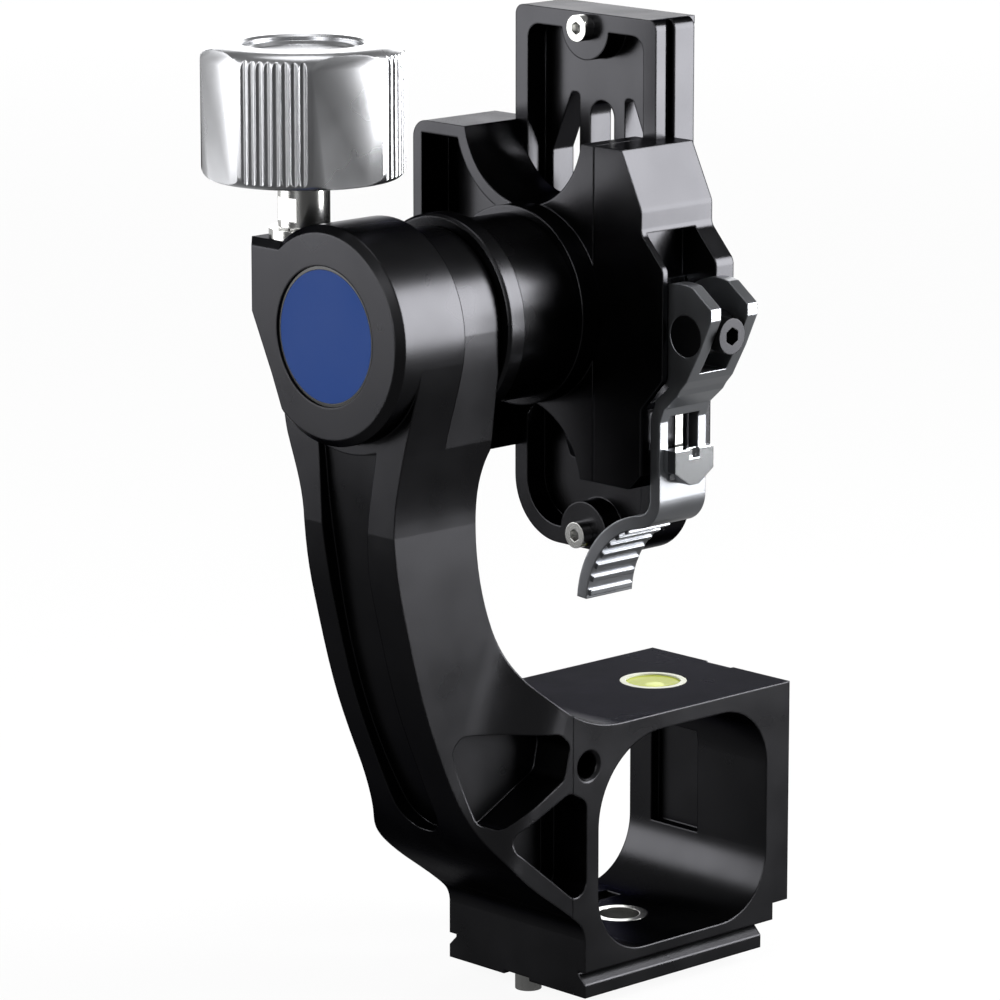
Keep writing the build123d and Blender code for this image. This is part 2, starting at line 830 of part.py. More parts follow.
with BuildPart() as knob_cap:
    cap_bottom = knob_top - knob_recess_depth + skin
    with Locations((spindle_x, spindle_y, cap_bottom)):
        Cylinder(knob_recess_radius - run, knob_cap_thickness, align=stand)
    with Locations((spindle_x, spindle_y, cap_bottom + knob_cap_thickness)):
        dish_radius = knob_recess_radius - knob_cap_rim
        Cone(dish_radius - knob_cap_dish, dish_radius, knob_cap_thickness, mode=Mode.SUBTRACT)
    save(knob_cap, "knob_cap")

# ---------------------------------------------------------------- axle and hub
with BuildPart() as axle:
    drum(nut_front_x, drum_front_x - nut_front_x, axle_thread_radius)
    drum(drum_front_x, drum_length, front_journal_radius)
    drum(drum_back_x, disc_back_x - drum_back_x, bearing_inner_radius)
    drum(disc_back_x, axle_flange_thickness, axle_flange_radius)
    with BuildSketch(tilt_plane(disc_back_x)):
        with PolarLocations(flange_screw_circle_radius, 4):
            Circle(flange_screw_radius + run)
    extrude(amount=axle_flange_thickness, mode=Mode.SUBTRACT)
    save(axle, "axle")

with BuildPart() as brake_drum:
    ring(drum_front_x, drum_length, drum_radius, front_journal_radius + skin)
    save(brake_drum, "brake_drum")

with BuildPart() as preload_nut:
    ring(nut_front_x, nut_thickness - skin, nut_radius, axle_thread_radius + skin)
    with BuildSketch(tilt_plane(nut_front_x)):
        with PolarLocations(nut_radius, 4):
            Rectangle(2 * nut_slot_depth, nut_slot_width)
    extrude(amount=nut_thickness, mode=Mode.SUBTRACT)
    save(preload_nut, "preload_nut")

with BuildPart() as friction_washer:
    washer_outer = neck_radius - washer_margin
    washer_inner = bearing_outer_radius + washer_margin
    ring(neck_end_x + skin, washer_thickness - 2 * skin, washer_outer, washer_inner)
    save(friction_washer, "friction_washer")

with BuildPart() as hub_disc:
    ring(disc_front_x, hub_disc_thickness, hub_disc_radius, bearing_inner_radius + skin)
    with BuildSketch(tilt_plane(disc_front_x)):
        with PolarLocations(flange_screw_circle_radius, 4):
            Circle(flange_screw_head + run)
    extrude(amount=hub_disc_thickness, mode=Mode.SUBTRACT)
    chamfer(hub_disc.edges().filter_by(GeomType.CIRCLE).sort_by(SortBy.RADIUS)[-2:], 0.5)
    save(hub_disc, "hub_disc")

with BuildPart() as flange_screws:
    head_height = hub_disc_thickness - flange_screw_recess - skin
    with Locations(tilt_plane(disc_front_x + flange_screw_recess)):
        with PolarLocations(flange_screw_circle_radius, 4):
            Cylinder(flange_screw_head, head_height, align=stand)
            shank_length = head_height + axle_flange_thickness + flange_screw_depth
            Cylinder(flange_screw_radius, shank_length, align=stand)
    save(flange_screws, "flange_screws")

with BuildPart() as rotor_hub:
    drum(disc_back_x, seat_x - disc_back_x, hub_radius)
    drum(disc_back_x, axle_flange_thickness + skin, axle_flange_radius + skin, Mode.SUBTRACT)
    with BuildSketch(tilt_plane(disc_back_x)):
        with PolarLocations(flange_screw_circle_radius, 4):
            Circle(flange_screw_radius + skin)
    extrude(amount=axle_flange_thickness + flange_screw_depth + 1, mode=Mode.SUBTRACT)
    with BuildSketch(tilt_plane(seat_x)):
        with PolarLocations(hub_screw_circle_radius, 4, start_angle=45):
            Circle(hub_screw_radius + skin)
    extrude(amount=-hub_screw_depth - 1, mode=Mode.SUBTRACT)
    save(rotor_hub, "rotor_hub")

# ---------------------------------------------------------------- clamp
with BuildPart() as clamp_body:
    with BuildSketch(tilt_plane(clamp_back_x)) as clamp_outline:
        with BuildLine():
            Polyline(
                (split_y, clamp_bottom),
                (fixed_jaw_side, clamp_bottom),
                (fixed_jaw_side, clamp_top),
                (split_y, clamp_top),
                close=True,
            )
        make_face()
        fillet(clamp_outline.vertices().group_by(Axis.X)[-1], clamp_corner)
        with Locations((scallop_y, clamp_top - scallop_depth + scallop_radius)):
            Circle(scallop_radius, mode=Mode.SUBTRACT)
        with Locations((scallop_y, clamp_bottom + scallop_depth - scallop_radius)):
            Circle(scallop_radius, mode=Mode.SUBTRACT)
    extrude(amount=jaw_front_x - clamp_back_x)
    drum(seat_x, clamp_back_x - seat_x, seat_radius)
    # pockets round the hub in the back face
    with BuildSketch(tilt_plane(clamp_back_x)):
        pocket_far_y = fixed_jaw_side - clamp_pocket_rim
        with Locations(((clamp_pocket_near_y + pocket_far_y) / 2, clamp_middle)):
            Rectangle(pocket_far_y - clamp_pocket_near_y, clamp_height - 2 * clamp_pocket_rim)
        Circle(seat_radius + 0.8, mode=Mode.SUBTRACT)
        for edge_z in (
            clamp_top - scallop_depth + scallop_radius,
            clamp_bottom + scallop_depth - scallop_radius,
        ):
            with Locations((scallop_y, edge_z)):
                Circle(scallop_radius + clamp_pocket_rim, mode=Mode.SUBTRACT)
    extrude(amount=clamp_pocket_depth, mode=Mode.SUBTRACT)
    # bed, with the groove under the fixed jaw's lip
    bed_plane = Plane(origin=(bed_x, 0, axis_height + clamp_bottom - 1), x_dir=(1, 0, 0), z_dir=(0, 0, 1))
    with BuildSketch(bed_plane):
        with BuildLine():
            Polyline(
                (0, split_y - 1),
                (0, half_width + run),
                (dovetail_lip + run, half_width + run),
                (dovetail_lip + dovetail_undercut + run, half_width - dovetail_undercut + run),
                (past, half_width - dovetail_undercut + run),
                (past, split_y - 1),
                close=True,
            )
        make_face()
    extrude(amount=clamp_height + 2, mode=Mode.SUBTRACT)
    # countersunk screws into the hub
    with BuildSketch(tilt_plane(bed_x)):
        with PolarLocations(hub_screw_circle_radius, 4, start_angle=45):
            Circle(hub_screw_radius + skin)
    extrude(amount=seat_x - bed_x, mode=Mode.SUBTRACT)
    with BuildSketch(tilt_plane(bed_x)):
        with PolarLocations(hub_screw_circle_radius, 4, start_angle=45):
            Circle(hub_screw_head + skin)
    extrude(amount=-hub_screw_sink - hub_screw_head_height - skin, mode=Mode.SUBTRACT)
    # tie bolt, guide pins and the room of their springs
    with Locations(Plane(origin=(lever_x, split_y - 1, axis_height + pin_rise), z_dir=(0, 1, 0))):
        Cylinder(tie_bolt_radius + skin, tie_bolt_end_y - split_y + 1.5, align=stand, mode=Mode.SUBTRACT)
    for side in (-1, 1):
        pin_z = axis_height + side * guide_pin_rise
        with Locations(Plane(origin=(lever_x, split_y - 1, pin_z), z_dir=(0, 1, 0))):
            Cylinder(guide_pin_radius + skin, guide_pin_length / 2 + 1, align=stand, mode=Mode.SUBTRACT)
            Cylinder(guide_pin_radius + spring_room, spring_length / 2 + 1, align=stand, mode=Mode.SUBTRACT)
    save(clamp_body, "clamp_body")

with BuildPart() as hub_screws:
    head_top_x = bed_x - hub_screw_sink
    head_seat_x = head_top_x - hub_screw_head_height
    with Locations(tilt_plane(head_seat_x)):
        with PolarLocations(hub_screw_circle_radius, 4, start_angle=45):
            Cylinder(hub_screw_head, hub_screw_head_height, align=stand)
    with Locations(tilt_plane(seat_x - hub_screw_depth)):
        with PolarLocations(hub_screw_circle_radius, 4, start_angle=45):
            Cylinder(hub_screw_radius, head_seat_x - seat_x + hub_screw_depth, align=stand)
    with BuildSketch(tilt_plane(head_top_x)):
        with PolarLocations(hub_screw_circle_radius, 4, start_angle=45):
            RegularPolygon(hub_screw_socket / 2, 6, major_radius=False)
    extrude(amount=-hub_screw_socket * 0.7, mode=Mode.SUBTRACT)
    save(hub_screws, "hub_screws")

with BuildPart() as movable_jaw:
    with BuildSketch(tilt_plane(clamp_back_x)) as jaw_outline:
        inner_y = split_y - jaw_gap
        with BuildLine():
            Polyline(
                (inner_y, clamp_bottom),
                (inner_y, clamp_top),
                (jaw_top_y, clamp_top),
                (jaw_flat_y, jaw_bend_height),
                (jaw_flat_y, jaw_ear_height + jaw_ear_slope),
                (jaw_ear_y, jaw_ear_height),
                (jaw_ear_y, -jaw_ear_height),
                (jaw_flat_y, -jaw_ear_height - jaw_ear_slope),
                (jaw_flat_y, clamp_bottom + jaw_chamfer),
                (jaw_flat_y + jaw_chamfer, clamp_bottom),
                close=True,
            )
        make_face()
        bends = [v for v in jaw_outline.vertices() if v.X < jaw_flat_y + 0.5 and abs(v.Y) < 25]
        fillet(bends, jaw_bend_radius)
    extrude(amount=jaw_front_x - clamp_back_x)
    # slot for the lever's cam between two ears
    with Locations((lever_x, slot_floor_y - past / 2, axis_height)):
        Box(lever_width + 2 * loose, past, 2 * (jaw_ear_height + jaw_ear_slope), mode=Mode.SUBTRACT)
    # plate side: bed, 45 degree flank and lip
    bed_plane = Plane(origin=(bed_x, 0, axis_height + clamp_bottom - 1), x_dir=(1, 0, 0), z_dir=(0, 0, 1))
    with BuildSketch(bed_plane):
        with BuildLine():
            Polyline(
                (0, split_y + 1),
                (0, -half_width - run),
                (dovetail_lip + run, -half_width - run),
                (dovetail_lip + dovetail_undercut + run, -half_width + dovetail_undercut - run),
                (past, -half_width + dovetail_undercut - run),
                (past, split_y + 1),
                close=True,
            )
        make_face()
    extrude(amount=clamp_height + 2, mode=Mode.SUBTRACT)
    # tie bolt hole, guide pin holes
    with Locations(Plane(origin=(lever_x, jaw_ear_y - 1, axis_height + pin_rise), z_dir=(0, 1, 0))):
        Cylinder(tie_bolt_radius + 2 * run, 2 * past, align=stand, mode=Mode.SUBTRACT)
    for side in (-1, 1):
        pin_z = axis_height + side * guide_pin_rise
        with Locations(Plane(origin=(lever_x, split_y + 1, pin_z), z_dir=(0, -1, 0))):
            Cylinder(guide_pin_radius + run, guide_pin_length / 2 + 1.5, align=stand, mode=Mode.SUBTRACT)
            spring_depth = spring_length / 2 + 1 + jaw_gap
            Cylinder(guide_pin_radius + spring_room, spring_depth, align=stand, mode=Mode.SUBTRACT)
    save(movable_jaw, "movable_jaw")

with BuildPart() as cam_plate:
    with Locations((lever_x, cam_face_y + cam_plate_thickness / 2, axis_height + pin_rise)):
        Box(lever_width, cam_plate_thickness, cam_plate_height)
    with Locations(Plane(origin=(lever_x, cam_face_y - 1, axis_height + pin_rise), z_dir=(0, 1, 0))):
        Cylinder(tie_bolt_radius + 2 * run, 4, align=stand, mode=Mode.SUBTRACT)
    save(cam_plate, "cam_plate")

with BuildPart() as guide_pins:
    for side in (-1, 1):
        pin_z = axis_height + side * guide_pin_rise
        with Locations(Plane(origin=(lever_x, split_y, pin_z), z_dir=(0, 1, 0))):
            Cylinder(guide_pin_radius, guide_pin_length)
    save(guide_pins, "guide_pins")

with BuildPart() as jaw_springs:
    for side in (-1, 1):
        pin_z = axis_height + side * guide_pin_rise
        with Locations(Plane(origin=(lever_x, split_y - jaw_gap / 2, pin_z), z_dir=(0, 1, 0))):
            Cylinder(guide_pin_radius + spring_play + spring_wall, spring_length)
            Cylinder(guide_pin_radius + spring_play, spring_length, mode=Mode.SUBTRACT)
    save(jaw_springs, "jaw_springs")

with BuildPart() as lever_pin:
    with BuildSketch(tilt_plane(lever_left_x)):
        with Locations((pin_y, pin_rise)):
            Circle(pin_radius)
    extrude(amount=lever_width)
    # flat seat and cross hole for the tie bolt
    with Locations((lever_x, pin_y - pin_radius - 4 + tie_head_seat, axis_height + pin_rise)):
        Box(2 * tie_head_radius + loose, 8, 10, mode=Mode.SUBTRACT)
    with Locations(Plane(origin=(lever_x, pin_y - 6, axis_height + pin_rise), z_dir=(0, 1, 0))):
        Cylinder(tie_bolt_radius + skin, 12, align=stand, mode=Mode.SUBTRACT)
    save(lever_pin, "lever_pin")

with BuildPart() as tie_bolt:
    head_seat_y = pin_y - pin_radius + tie_head_seat - skin
    bolt_plane = Plane(origin=(lever_x, head_seat_y, axis_height + pin_rise), z_dir=(0, -1, 0))
    with Locations(bolt_plane):
        Cylinder(tie_head_radius, tie_head_length, align=stand)
    with Locations(Plane(origin=(lever_x, head_seat_y, axis_height + pin_rise), z_dir=(0, 1, 0))):
        Cylinder(tie_bolt_radius, tie_bolt_end_y - head_seat_y, align=stand)
    socket(bolt_plane.offset(tie_head_length), tie_socket, tie_socket_depth)
    save(tie_bolt, "tie_bolt")

# ---------------------------------------------------------------- lever and its lock button
cam_y = pin_y + cam_offset * cos(radians(45))
cam_z = pin_rise - cam_offset * sin(radians(45))


def head_point(out, up):
    """Point of the lever's side view, in cam radii from the pin."""
    return (pin_y + out * cam_radius, pin_rise + up * cam_radius)


with BuildPart() as clamp_lever:
    # forked head with its cam
    with BuildSketch(tilt_plane(lever_left_x)) as lever_head:
        with BuildLine():
            cam = CenterArc((cam_y, cam_z), cam_radius, -35, 140)
            Polyline(
                cam @ 1,
                head_point(-0.594, 0.521),
                head_point(-0.594, 0.320),
                head_point(-0.338, -0.237),
                head_point(-0.027, -0.795),
                head_point(0.164, -1.005),
                head_point(0.466, -0.904),
                cam @ 0,
            )
        make_face()
    extrude(amount=lever_width)
    # strip down to the thumb tab
    with BuildSketch(tilt_plane(lever_left_x)):
        with BuildLine():
            Polyline(
                head_point(-0.018, -0.548),
                head_point(0.283, -0.995),
                head_point(0.594, -1.269),
                (strip_y, head_point(0, -1.562)[1]),
                (strip_y, strip_bottom),
            )
            bend = JernArc((strip_y, strip_bottom), (0, -1), tab_bend_radius, tab_bend_angle)
            curl = JernArc(bend @ 1, bend % 1, tab_radius, -tab_sweep)
        trace(line_width=lever_thickness)
    extrude(amount=lever_width)
    # ribs across the underside of the tab
    bend_y = strip_y + tab_bend_radius - tab_bend_radius * cos(radians(tab_bend_angle))
    bend_z = strip_bottom - tab_bend_radius * sin(radians(tab_bend_angle))
    curl_y = bend_y - tab_radius * sin(radians(90 - tab_bend_angle))
    curl_z = bend_z - tab_radius * cos(radians(90 - tab_bend_angle))
    with BuildSketch(tilt_plane(lever_left_x + rib_inset)):
        with Locations((curl_y, curl_z)):
            for rib in range(tab_ribs):
                rib_angle = rib_start + rib * rib_step
                with PolarLocations(tab_radius - lever_thickness / 2, 1, start_angle=rib_angle):
                    Rectangle(2 * rib_height, rib_width)
    extrude(amount=lever_width - 2 * rib_inset)
    # fork gap for the tie bolt's head, pin bore, window of the lock button
    with Locations((lever_x, pin_y, axis_height + pin_rise - fork_reach)):
        Box(lever_width - 2 * lever_tine, 4 * cam_radius, 4 * cam_radius, align=stand, mode=Mode.SUBTRACT)
    with BuildSketch(tilt_plane(lever_left_x)):
        with Locations((pin_y, pin_rise)):
            Circle(pin_radius + run)
    extrude(amount=lever_width, mode=Mode.SUBTRACT)
    with Locations((lever_x, strip_y, axis_height + lever_window_top - lever_window_height / 2)):
        Box(lever_window_width, 2 * lever_thickness, lever_window_height, mode=Mode.SUBTRACT)
    save(clamp_lever, "clamp_lever")

strip_outer_y = strip_y - lever_thickness / 2
with BuildPart() as lock_button:
    # stem in the window, cap in front of it with a pointed lower edge
    with Locations((lever_x, strip_y - loose, axis_height + stem_bottom)):
        Box(lever_window_width - 2 * run, lever_thickness + 2 * loose, button_stem_height, align=stand)
    with BuildSketch(side_plane(strip_outer_y - run)):
        with BuildLine():
            Polyline(
                (lever_x - button_width / 2, axis_height + button_top),
                (lever_x + button_width / 2, axis_height + button_top),
                (lever_x + button_width / 2, axis_height + button_top - button_height * button_shoulder),
                (lever_x + button_point / 2, axis_height + button_top - button_height),
                (lever_x - button_point / 2, axis_height + button_top - button_height),
                (lever_x - button_width / 2, axis_height + button_top - button_height * button_shoulder),
                close=True,
            )
        make_face()
    extrude(amount=button_reach)
    with Locations((lever_x, strip_outer_y - button_reach, axis_height + button_top)):
        Box(button_notch, 2 * button_cap_rise, 4 * button_cap_rise, mode=Mode.SUBTRACT)
    save(lock_button, "lock_button")

with BuildPart() as button_spring:
    spring_bottom = axis_height + stem_bottom + button_stem_height + skin
    with Locations((lever_x, strip_y, spring_bottom)):
        spring_height = axis_height + lever_window_top - skin - spring_bottom
        Box(button_spring_width, button_spring_thickness, spring_height, align=stand)
    save(button_spring, "button_spring")

# ---------------------------------------------------------------- lens plate
with BuildPart() as lens_plate:
    with BuildSketch(tilt_plane(plate_back_x)) as plate_outline:
        with Locations((0, plate_offset)):
            Rectangle(dovetail_width, plate_length)
        fillet(plate_outline.vertices().group_by(Axis.Y)[0], plate_corner)
        fillet(plate_outline.vertices().group_by(Axis.Y)[-1], plate_top_corner)
    extrude(amount=plate_thickness)
    with Locations((plate_front_x, 0, axis_height + plate_top)):
        Box(2 * plate_lip_reach, dovetail_width - 2 * plate_lip_inset, 2 * plate_lip_height)
    with Locations((plate_front_x, 0, axis_height + plate_top + past / 2)):
        Box(past, dovetail_width + 2, past, mode=Mode.SUBTRACT)
    # dovetail grooves along both sides
    for side in (-1, 1):
        with BuildSketch(
            Plane(origin=(plate_back_x, 0, axis_height + plate_bottom - 1), x_dir=(1, 0, 0), z_dir=(0, 0, 1))
        ):
            with BuildLine():
                Polyline(
                    (dovetail_lip, side * (half_width + 1)),
                    (dovetail_lip, side * half_width),
                    (dovetail_lip + dovetail_undercut, side * (half_width - dovetail_undercut)),
                    (dovetail_roof, side * (half_width - dovetail_undercut)),
                    (dovetail_roof, side * (half_width + 1)),
                    close=True,
                )
            make_face()
        extrude(amount=plate_length + 2, mode=Mode.SUBTRACT)
    # pocket in the clamp side, with a boss round each stop screw
    with BuildSketch(tilt_plane(plate_back_x)) as plate_pocket:
        with Locations((0, plate_offset)):
            Rectangle(dovetail_width - 2 * plate_rim, plate_length - 2 * plate_rim)
        fillet(plate_pocket.vertices().group_by(Axis.Y)[0], plate_corner - plate_rim)
        fillet(plate_pocket.vertices().group_by(Axis.Y)[-1], plate_pocket_corner)
        for end_z in (plate_top - stop_screw_inset, plate_bottom + stop_screw_inset):
            with Locations((0, end_z)):
                Circle(stop_boss_radius, mode=Mode.SUBTRACT)
    extrude(amount=plate_pocket_depth, mode=Mode.SUBTRACT)
    # long slot of the camera screws and a pair of side windows at each end
    with BuildSketch(tilt_plane(pocket_floor_x - 1)) as plate_slots:
        with Locations((0, plate_offset)):
            SlotOverall(2 * slot_half_length, 2 * slot_half_width, rotation=90)
        for side in (-1, 1):
            for end in (-1, 1):
                with BuildLine():
                    Polyline(
                        (side * side_slot_y, plate_offset + end * side_slot_near),
                        (side * side_slot_y, plate_offset + end * (slot_half_length + 1)),
                        (side * (side_slot_y + side_slot_tip), plate_offset + end * (slot_half_length + 1)),
                        (side * side_slot_reach, plate_offset + end * side_slot_bend),
                        (side * side_slot_reach, plate_offset + end * side_slot_near),
                        close=True,
                    )
                make_face()
        corners = [v for v in plate_slots.vertices() if abs(v.X) > side_slot_y - 0.1]
        fillet(corners, side_slot_corner)
    extrude(amount=plate_thickness, mode=Mode.SUBTRACT)
    # stop screw holes
    for end_z in (plate_top - stop_screw_inset, plate_bottom + stop_screw_inset):
        with BuildSketch(tilt_plane(plate_back_x)):
            with Locations((0, end_z)):
                Circle(stop_screw_thread_radius + skin)
        extrude(amount=stop_screw_depth + 0.5, mode=Mode.SUBTRACT)
    save(lens_plate, "lens_plate")

with BuildPart() as stop_screws:
    for end_z in (plate_top - stop_screw_inset, plate_bottom + stop_screw_inset):
        with Locations(Plane(origin=(plate_back_x - skin, 0, axis_height + end_z), z_dir=(-1, 0, 0))):
            Cylinder(stop_screw_radius, stop_screw_drop, align=stand)
        with Locations(Plane(origin=(plate_back_x - skin, 0, axis_height + end_z), z_dir=(1, 0, 0))):
            Cylinder(stop_screw_thread_radius, stop_screw_depth, align=stand)
        socket(
            Plane(origin=(plate_back_x - skin - stop_screw_drop, 0, axis_height + end_z), z_dir=(-1, 0, 0)),
            stop_screw_socket,
            stop_screw_socket_depth,
        )
    save(stop_screws, "stop_screws")

with BuildPart() as camera_screws:
    for side in (-1, 1):
        screw_z = axis_height + plate_offset + side * camera_screw_spacing / 2
        head_x = pocket_floor_x - skin
        with Locations(Plane(origin=(head_x, 0, screw_z), z_dir=(-1, 0, 0))):
            Cylinder(camera_screw_head, camera_screw_head_height, align=stand)
        # neck that runs in the slot, and the thread beyond the plate's face
        thread_x = plate_front_x + camera_thread_gap
        with Locations(Plane(origin=(head_x, 0, screw_z), z_dir=(1, 0, 0))):
            Cylinder(camera_screw_neck, thread_x - head_x, align=stand)
        with Locations(Plane(origin=(thread_x, 0, screw_z), z_dir=(1, 0, 0))):
            Cylinder(camera_screw_radius, camera_screw_reach - camera_thread_gap, align=stand)
        with Locations((head_x - camera_screw_head_height, 0, screw_z)):
            Box(2 * camera_screw_slot, 3 * camera_screw_head, camera_screw_slot, mode=Mode.SUBTRACT)
    save(camera_screws, "camera_screws")
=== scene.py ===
"""Gimbal tripod head: dresses the CAD frame of the head and sets it in a plain studio."""

import math

import bpy
from bpy.props import FloatProperty, FloatVectorProperty, IntProperty, PointerProperty
from mathutils import Matrix, Vector


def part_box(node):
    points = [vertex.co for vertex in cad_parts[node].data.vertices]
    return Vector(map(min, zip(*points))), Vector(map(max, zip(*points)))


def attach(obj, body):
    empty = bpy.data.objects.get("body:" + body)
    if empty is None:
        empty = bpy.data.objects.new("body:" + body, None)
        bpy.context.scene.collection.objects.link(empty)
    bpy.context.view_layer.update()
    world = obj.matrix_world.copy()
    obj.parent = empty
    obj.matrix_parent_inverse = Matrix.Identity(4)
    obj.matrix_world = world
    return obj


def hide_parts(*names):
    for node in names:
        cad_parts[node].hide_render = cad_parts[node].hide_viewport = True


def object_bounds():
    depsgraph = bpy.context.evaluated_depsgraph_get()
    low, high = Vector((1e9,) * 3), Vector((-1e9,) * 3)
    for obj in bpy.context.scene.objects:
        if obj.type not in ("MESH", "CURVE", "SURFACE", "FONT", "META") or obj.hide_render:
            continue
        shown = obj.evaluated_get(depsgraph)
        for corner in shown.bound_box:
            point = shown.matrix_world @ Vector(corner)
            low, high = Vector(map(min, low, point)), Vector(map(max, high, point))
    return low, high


bl_info = {
    "name": "Gimbal Tripod Head",
    "version": (1, 0, 0),
    "blender": (4, 5, 0),
    "location": "3D View > Sidebar > Gimbal Head",
    "description": "Dresses the frame of a gimbal tripod head, piece by piece, and sets up its studio",
    "category": "Object",
}

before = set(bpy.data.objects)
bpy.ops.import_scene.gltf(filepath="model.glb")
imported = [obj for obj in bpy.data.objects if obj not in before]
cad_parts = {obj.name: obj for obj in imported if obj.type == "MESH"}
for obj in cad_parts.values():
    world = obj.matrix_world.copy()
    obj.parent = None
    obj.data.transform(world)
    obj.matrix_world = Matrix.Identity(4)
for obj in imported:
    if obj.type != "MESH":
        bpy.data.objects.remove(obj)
cad_box = [list(corner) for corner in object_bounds()]
MM = 0.001
# gloss of a surface: how far apart its uneven spots lie, and how much they change its roughness
DRIFT_MM = 12.0
DRIFT_SHARE = 0.12
# dyed anodising stays dark at grazing angles too
DYED = {"Specular Tint": (0.3, 0.3, 0.31, 1)}


def linear(hex_colour):
    """Linear RGB from an sRGB hex value."""
    parts = [int(hex_colour[i : i + 2], 16) / 255 for i in (0, 2, 4)]
    return [part / 12.92 if part <= 0.04045 else ((part + 0.055) / 1.055) ** 2.4 for part in parts]


# ------------------------------------------------------------------ settings
class GimbalHeadSettings(bpy.types.PropertyGroup):
    """Sizes and colours of the dressed head that a user would change."""

    black_finish: FloatVectorProperty(
        name="Black anodising", description="Dye of the machined aluminium", subtype="COLOR", size=3,
        min=0, max=1, default=linear("353537"),
    )
    disc_colour: FloatVectorProperty(
        name="Disc", description="Enamel of the disc on the boss", subtype="COLOR", size=3,
        min=0, max=1, default=linear("0b2f69"),
    )
    knob_finish: FloatVectorProperty(
        name="Knob", description="Clear anodising of the lock knob", subtype="COLOR", size=3,
        min=0, max=1, default=linear("b9babd"),
    )
    lever_finish: FloatVectorProperty(
        name="Lever", description="Grey anodising of the clamp's lever", subtype="COLOR", size=3,
        min=0, max=1, default=linear("8e9094"),
    )
    level_liquid: FloatVectorProperty(
        name="Level liquid", description="Dyed liquid of the bull's-eye level", subtype="COLOR", size=3,
        min=0, max=1, default=linear("c8d23c"),
    )
    edge_round: FloatProperty(
        name="Edge round", description="Radius of the broken edges on machined pieces", unit="LENGTH",
        min=0, max=0.002, default=0.45 * MM,
    )
    knob_radius: FloatProperty(
        name="Knob radius", description="Outer radius of the lock knob", unit="LENGTH",
        min=0.005, max=0.05, default=19.0 * MM,
    )
    flute_radius: FloatProperty(
        name="Flute radius", description="Radius of one flute of the knob's grip", unit="LENGTH",
        min=0.0002, max=0.003, default=0.8 * MM,
    )
    flutes_per_band: IntProperty(
        name="Flutes per band", description="Flutes between two flats of the knob", min=1, max=20, default=8,
    )
    lamp_strength: FloatProperty(
        name="Lamp strength", description="Share of the studio lamps' power", min=0, max=10, default=1.0,
    )


# ------------------------------------------------------------------ node trees
def place(tree, kind, inputs=None, **settings):
    """Adds one node with its settings; inputs maps a socket to a value or to another node's output."""
    made = tree.nodes.new(kind)
    for name, value in settings.items():
        setattr(made, name, value)
    for socket, value in (inputs or {}).items():
        if isinstance(value, bpy.types.NodeSocket):
            tree.links.new(value, made.inputs[socket])
        else:
            made.inputs[socket].default_value = value
    return made


def machined_surface(
    name, tint, rough, grain_mm, grain_depth_mm, edge, metallic=1.0, stretch=(1, 1, 1), **sockets
):
    """A surface: its colour and gloss, a grain of a real size, uneven gloss, and softly broken edges."""
    material = bpy.data.materials.new(name)
    material.use_nodes = True
    tree = material.node_tree
    tree.nodes.clear()
    where = place(tree, "ShaderNodeTexCoord")
    stretched = place(tree, "ShaderNodeMapping", {"Vector": where.outputs["Object"], "Scale": stretch})
    grain = place(
        tree, "ShaderNodeTexNoise",
        {"Vector": stretched.outputs[0], "Scale": 1000 / grain_mm, "Detail": 3.0, "Roughness": 0.6},
    )
    # the gloss drifts where hands and cloths have been
    drift = place(
        tree, "ShaderNodeTexNoise",
        {"Vector": where.outputs["Object"], "Scale": 1000 / DRIFT_MM, "Detail": 2.0},
    )
    gloss = place(
        tree, "ShaderNodeMapRange",
        {
            "Value": drift.outputs["Fac"], 1: 0.3, 2: 0.7,
            3: rough * (1 - DRIFT_SHARE), 4: rough * (1 + DRIFT_SHARE),
        },
    )
    edges = place(tree, "ShaderNodeBevel", {"Radius": edge}, samples=6)
    relief = place(
        tree, "ShaderNodeBump",
        {
            "Height": grain.outputs["Fac"], "Distance": grain_depth_mm * MM, "Strength": 1.0,
            "Normal": edges.outputs[0],
        },
    )
    shader = place(
        tree, "ShaderNodeBsdfPrincipled",
        {
            "Base Color": (*tint, 1), "Metallic": metallic, "Roughness": gloss.outputs[0],
            "Normal": relief.outputs[0], **sockets,
        },
    )
    place(tree, "ShaderNodeOutputMaterial", {"Surface": shader.outputs[0]})
    return material


def dress(material, *names):
    """Gives CAD nodes or new pieces their material."""
    for name in names:
        piece = bpy.data.objects[name]
        piece.data.materials.clear()
        piece.data.materials.append(material)


# ------------------------------------------------------------------ modelling helpers
def nothing_selected():
    bpy.ops.object.select_all(action="DESELECT")


def settle(piece, name, body, slot, *nodes):
    """A finished piece: place in its mesh, riding on its body, standing for the CAD nodes named."""
    nothing_selected()
    piece.select_set(True)
    bpy.context.view_layer.objects.active = piece
    bpy.ops.object.transform_apply(location=True, rotation=True, scale=True)
    piece.name = name
    piece.data.name = name
    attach(piece, body)
    if nodes:
        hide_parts(*nodes)
    return piece


# ------------------------------------------------------------------ lock knob
# the knob's own sizes: shoulders as shares of its radius, then the dish, the flats and the flutes
UPPER_SHOULDER = 0.16
LOWER_SHOULDER = 0.12
DISH_RADIUS = 11.8 * MM
DISH_BEVEL = 0.5 * MM
DISH_DEPTH = 1.9 * MM
FIRST_FLAT_DEGREES = 76
FLAT_DEPTH = 1.5 * MM
FLUTE_STEP_DEGREES = 4.9
FLUTE_STAND_OFF = 0.35


